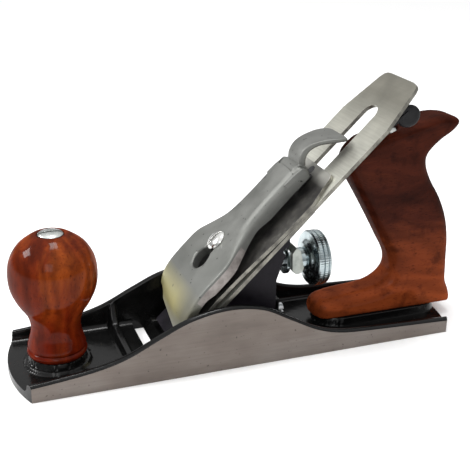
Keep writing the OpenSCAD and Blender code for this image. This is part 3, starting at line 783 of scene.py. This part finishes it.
def cap_cutter():
    """The keyhole with a broken rim, and the hollow of the cam's roller."""
    key = [(SLOT_END + SLOT_HALF * math.cos(a), SLOT_HALF * math.sin(a))
           for a in np.linspace(-math.pi / 2, math.pi / 2, 13)]
    start = math.asin(SLOT_HALF / KEY_R)
    key += [(KEY_S + KEY_R * math.cos(a), KEY_R * math.sin(a))
            for a in np.linspace(start, 2 * math.pi - start, 29)]
    rings = []
    for h, grow in ((5, 0.0), (16.3, 0.0), (16.75, 0.12), (17.0, 0.4), (17.35, 0.95), (19, 2.6)):
        ring = []
        for s, y in key:
            middle = 63.5 if 58 < s < SLOT_END else KEY_S if s <= 60 else SLOT_END
            out = np.array([s - middle, y])
            out = out / (np.linalg.norm(out) + 1e-9) * grow
            ring.append(bed(s + out[0], y + out[1], h))
        rings.append(ring)
    verts, faces = stacked(rings)
    roller, roller_faces = lathe([(0, -8.6), (6, -8.6), (6, 8.6), (0, 8.6)], 64,
                                 lambda a, b, h: bed(PIN_S + a, h, PIN_H + b))
    faces += [tuple(i + len(verts) for i in face) for face in roller_faces]
    cutter = bpy.data.objects.new("cutter", closed_mesh("cutter", verts + roller, faces))
    scene.collection.objects.link(cutter)
    return cutter


def cap_ears():
    """The two ears that hold the cam's pin."""
    flat = [tuple(p) for p in catmull([(116, 10.8), (121, 9.4), (126, 8.0), (128.8, 8.4), (130.2, 10.4),
                                       (130.2, 13.4), (128.8, 15.4)], 4)] + [(122, 16.3), (116, 16.4)]
    middle, edge = np.array([124, 12.6]), 0.5
    for name, y0, y1 in (("cap_ear_near", -12.5, -8.6), ("cap_ear_far", 8.6, 12.5)):
        rings = []
        for y, inset in ((y0, edge), (y0 + 0.15, 0.18), (y0 + edge, 0),
                         (y1 - edge, 0), (y1 - 0.15, 0.18), (y1, edge)):
            ring = []
            for p in flat:
                inwards = middle - np.array(p)
                s, h = np.array(p) + inwards / np.linalg.norm(inwards) * inset
                ring.append(bed(s, y, h))
            rings.append(ring)
        verts, faces = stacked(rings)
        build(name, verts, faces, [M["nickel"]], "cap", "nickel_cap", angle=40)


def lever_cap():
    """The shell with its holes cut, and the ears."""
    shell, cutter = cap_shell(), cap_cutter()
    cut = shell.modifiers.new("cut", "BOOLEAN")
    cut.object = cutter
    cut.operation = "DIFFERENCE"
    cut.solver = "EXACT"
    depsgraph = bpy.context.evaluated_depsgraph_get()
    mesh = bpy.data.meshes.new_from_object(shell.evaluated_get(depsgraph))
    shell.modifiers.clear()
    mesh.shade_smooth()
    mesh.set_sharp_from_angle(angle=math.radians(35))
    shell.data = mesh
    bpy.data.objects.remove(cutter)
    cap_ears()


def cam():
    """The roller round its pin and the curled lever, from its side view and its plan."""
    side = np.vstack([catmull([(129.5, 15.5), (133, 18.4), (138, 19.6), (143, 18.4), (148.6, 15.2),
                               (153.6, 11.2), (158.4, 6.4)], 6),
                      catmull([(157, 5.4), (152, 9.4), (148, 12.5), (144, 15), (139, 16.2),
                               (135, 15), (132.6, 12.6), (129.4, 10.4)], 6)])
    edge = catmull([(121, 7.6), (134, 7.6), (141, 8.2), (147, 9.6), (152, 11.3), (155.6, 11.9),
                    (157.8, 11), (158.9, 8)], 6)
    plan_line = np.vstack([edge, edge[::-1] * (1, -1)])
    step = 0.36
    gs = np.arange(120.8, 160.5, step)
    gy = np.arange(-13, 13.1, step)
    gh = np.arange(4, 21.5, step)
    s2, h2 = np.meshgrid(gs, gh, indexing="ij")
    blade = outline_distance(side, s2, h2)[:, None, :]
    s1, y1 = np.meshgrid(gs, gy, indexing="ij")
    plan = outline_distance(plan_line, s1, y1)[:, :, None]
    s, y, h = np.meshgrid(gs, gy, gh, indexing="ij")
    from_pin = np.hypot(s - PIN_S, h - PIN_H)
    roller = np.maximum(from_pin - 5.3, np.abs(y) - 8.4)
    r = 0.8
    f = np.minimum(roller, rounded(blade + r, plan + r, r))
    f = np.maximum(f, 2.1 - from_pin)
    v, faces = surface_nets(f, np.array([gs[0], gy[0], gh[0]]), step)
    v = [bed(*p) for p in v]
    o = build("cam_shaped", v, faces, [M["nickel"], M["inside"]], "cam", "nickel_cap",
              "lever_cap_cam", angle=60)
    # painted shade: the cam's faces that face into the bed get the dark material
    for p in o.data.polygons:
        p.material_index = 1 if p.normal.dot(Vector(BED_NORMAL)) < -0.25 else 0
    ease(o, 2)


lever_cap()
cam()


# ---------------------------------------------------------------- depth wheel
def wheel():
    """The depth nut's wheel: knurled rims, two grooves and a dished rear face."""
    low, high = mm_box("depth_nut_wheel")
    x0, z0 = low[0], (low[2] + high[2]) / 2
    prof = [(5.55, 0), (7.2, 0), (8.2, 0.1), (9.0, 0.4), (9.7, 1.0), (10.4, 1.8), (11.4, 2.35),
            (12.8, 2.6), (14.2, 2.75), (15.3, 3.1), (16, 3.9), (16, 5.7), (15.75, 6.1), (15.1, 6.4),
            (15.75, 6.7), (16, 7.1), (16, 8.3), (15.75, 8.7), (15.1, 9.0), (15.6, 9.3), (15.8, 9.6),
            (15.7, 10.3), (15.3, 10.6), (14.6, 10.7), (12.2, 10.7), (11.6, 10.5), (11.1, 9.2),
            (10.8, 9.05), (8.9, 9.05), (8.5, 9.3), (8.1, 10.5), (7.7, 10.7), (5.55, 10.7), (5.55, 0)]

    knurls, knurl_deep = 72, 0.14

    def teeth(i, a):
        on_rim = 10 <= i <= 21
        return knurl_deep * (0.5 + 0.5 * math.cos(knurls * a)) if on_rim else 0

    v, f = lathe(prof, 4 * knurls, lambda a, b, h: (x0 + h, a, z0 + b), teeth)
    build("wheel_turned", v, f, [M["wheel"]], "depth_wheel", "wheel_metal", "depth_nut_wheel", angle=30)


wheel()


# ---------------------------------------------------------------- lateral lever
def lateral():
    """A flat arm under the iron with a round folded thumb tab at its end."""
    rivet, turn, top, thick = 104.0, math.radians(-13), -3.0, 1.5
    quarter = math.pi / 2

    def put(s, y, h):
        """s runs along the lever from its rivet."""
        return bed(rivet + s * math.cos(turn) - y * math.sin(turn),
                   s * math.sin(turn) + y * math.cos(turn), h)

    def arc(middle, r, start, end, points):
        return [(middle + r * math.cos(a), r * math.sin(a)) for a in np.linspace(start, end, points)]

    sides = [(18, 3.6), (30, 3.4), (50, 2.8), (80, 2.4)]
    rim = (arc(-9.4, 3.6, quarter, 3 * quarter, 17) + [(s, -y) for s, y in sides]
           + arc(87, 2.3, -quarter, quarter, 13) + sides[::-1])
    hole = arc(0, 2.05, 0, 4 * quarter, 21)[:-1]
    me = bpy.data.meshes.new("lateral_arm")
    bm = bmesh.new()
    edges = []
    for loop in (rim, hole):
        ring = [bm.verts.new([c * MM for c in put(s, y, top)]) for s, y in loop]
        edges += [bm.edges.new(pair) for pair in zip(ring, ring[1:] + ring[:1])]
    flat = bmesh.ops.triangle_fill(bm, edges=edges, use_beauty=True, use_dissolve=False)
    faces = [g for g in flat["geom"] if isinstance(g, bmesh.types.BMFace)]
    grown = bmesh.ops.extrude_face_region(bm, geom=faces)
    lower = [g for g in grown["geom"] if isinstance(g, bmesh.types.BMVert)]
    bmesh.ops.translate(bm, vec=Vector(BED_NORMAL) * -thick * MM, verts=lower)
    bmesh.ops.recalc_face_normals(bm, faces=bm.faces)
    bm.to_mesh(me)
    bm.free()
    arm = finish_mesh("lateral_arm", me, [M["black"]], "lateral", "black_steel", "lateral_lever", 30)
    break_edges(arm, 0.35, 40)
    prof = [(0, -1.5), (3.5, -1.5), (5.2, -1.35), (6.1, -0.95), (6.5, -0.3), (6.5, 0.3), (6.1, 0.95),
            (5.2, 1.35), (3.5, 1.5), (0, 1.5)]
    v, f = lathe(prof, 64, lambda a, b, h: put(86.6 + a, h, top - 3.7 + b))
    build("lateral_tab", v, f, [M["black"]], "lateral", "black_steel", "lateral_lever", angle=40)


lateral()


# ---------------------------------------------------------------- the other nodes
PLAIN = [       # the node, its material and the width of its broken edges
    ("knob_stud", "plain", 0.2), ("knob_nut", "nut", 0.25), ("tote_rod", "plain", 0.2),
    ("tote_nut", "nut", 0.25), ("frog", "frog", 0.5), ("frog_screws", "dark", 0.25),
    ("frog_washers", "plain", 0.15), ("frog_adjusting_screw", "plain", 0.25),
    ("frog_adjusting_plate", "black", 0.2), ("plate_screw", "plain", 0.2), ("depth_stud", "plain", 0.4),
    ("depth_nut_hub", "wheel", 0.4), ("depth_yoke", "yoke", 0.35), ("yoke_pin", "plain", 0.2),
    ("lateral_disc", "plain", 0.2), ("lateral_rivet", "plain", 0.15),
    ("cap_iron_screw", "dark", 0.2),
    # the cap spring is given dark steel as painted shade, for its place in the lever cap's shadow
    ("lever_cap_screw", "screw", 0.2), ("cap_spring", "dark", 0.15), ("spring_rivet", "nickel", 0.15),
    ("cam_pin", "nickel", 0.2),
]
for node, mat, edge in PLAIN:
    refine(node, mat, edge)
refine("plane_iron", "steel", 0.22, second="edge", facing=NEAR_SIDE)
# the cap iron's top face gets the painted shade
refine("cap_iron", "edge", 0.25, second="shaded_cap_iron", facing=BED_NORMAL)


# ---------------------------------------------------------------- stage
def softbox(name, at, size, power):
    data = bpy.data.lights.new(name, "AREA")
    data.energy = power
    data.shape = "RECTANGLE"
    data.size, data.size_y = size
    lamp = bpy.data.objects.new(name, data)
    lamp.location = at
    aim = Vector((0, 0, 0.05))
    lamp.rotation_euler = (aim - Vector(at)).to_track_quat("-Z", "Y").to_euler()
    scene.collection.objects.link(lamp)


def paper_floor():
    me = bpy.data.meshes.new("floor")
    s = 30.0
    me.from_pydata([(-s, -s, 0), (s, -s, 0), (s, s, 0), (-s, s, 0)], [], [(0, 1, 2, 3)])
    k = Nodes("floor_paper", rough=0.8)
    k.colour(k.ramp(k.noise(3, 2, 0.5), (0.3, (0.955, 0.955, 0.955)), (0.7, (0.975, 0.975, 0.975))))
    me.materials.append(k.m)
    floor = bpy.data.objects.new("floor", me)
    scene.collection.objects.link(floor)


def studio():
    """White behind the object; on it, light that grows from the horizon to overhead."""
    world = bpy.data.worlds.new("studio")
    world.use_nodes = True
    t = world.node_tree
    part = t.nodes.new("ShaderNodeSeparateXYZ")
    t.links.new(t.nodes.new("ShaderNodeTexCoord").outputs["Generated"], part.inputs[0])
    rise = t.nodes.new("ShaderNodeMapRange")
    for key, value in (("From Min", 0), ("From Max", 1), ("To Min", 0.22), ("To Max", 1.35)):
        rise.inputs[key].default_value = value
    t.links.new(part.outputs["Z"], rise.inputs["Value"])
    seen = t.nodes.new("ShaderNodeMix")
    factor, on_object, behind = (seen.inputs[i] for i in (0, 2, 3))
    t.links.new(t.nodes.new("ShaderNodeLightPath").outputs["Is Camera Ray"], factor)
    t.links.new(rise.outputs["Result"], on_object)
    behind.default_value = 1.0
    background = t.nodes["Background"]
    background.inputs["Color"].default_value = (1, 1, 1, 1)
    t.links.new(seen.outputs[0], background.inputs["Strength"])
    scene.world = world


paper_floor()
studio()
softbox("top_box", (0.0, 0.05, 1.1), (0.30, 0.24), 5)
softbox("side_box", (-0.70, 0.30, 0.60), (0.30, 0.24), 5.5)
softbox("front_box", (-0.5, -1.2, 0.9), (0.5, 0.5), 3)
